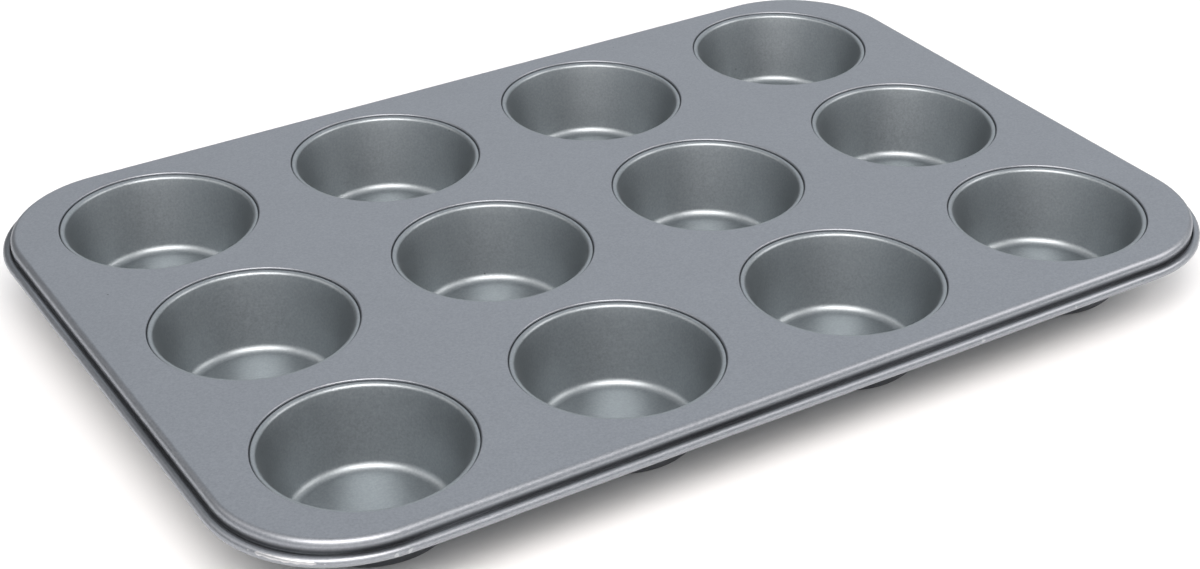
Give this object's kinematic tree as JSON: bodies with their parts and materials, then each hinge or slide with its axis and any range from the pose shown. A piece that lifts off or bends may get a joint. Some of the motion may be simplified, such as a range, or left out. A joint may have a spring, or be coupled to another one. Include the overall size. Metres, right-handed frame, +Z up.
{
  "type": "muffin tin",
  "caption": "Rectangular coated-steel muffin tin: round tapered cups seamed into a flat top plate with round corners and a rolled, wire-cored rim.",
  "frame": {"origin": "below the middle of the plate, at the level of the cups' undersides that the tin stands on", "axes": "+Z up, +X along the long side with four cups in each row, +Y to the back"},
  "size_m": [0.3996, 0.2742, 0.0299],
  "materials": {
    "plate_coating": "satin grey non-stick coating on pressed steel",
    "cup_coating": "satin grey non-stick coating on drawn steel",
    "rim_wire_steel": "bright drawn wire"
  },
  "bodies": {
    "root": {"top_plate": "plate_coating", "rim_wire": "rim_wire_steel", "cup_row1_column1": "cup_coating", "cup_row1_column2": "cup_coating", "cup_row1_column3": "cup_coating", "cup_row1_column4": "cup_coating", "cup_row2_column1": "cup_coating", "cup_row2_column2": "cup_coating", "cup_row2_column3": "cup_coating", "cup_row2_column4": "cup_coating", "cup_row3_column1": "cup_coating", "cup_row3_column2": "cup_coating", "cup_row3_column3": "cup_coating", "cup_row3_column4": "cup_coating"}
  },
  "joints": []
}
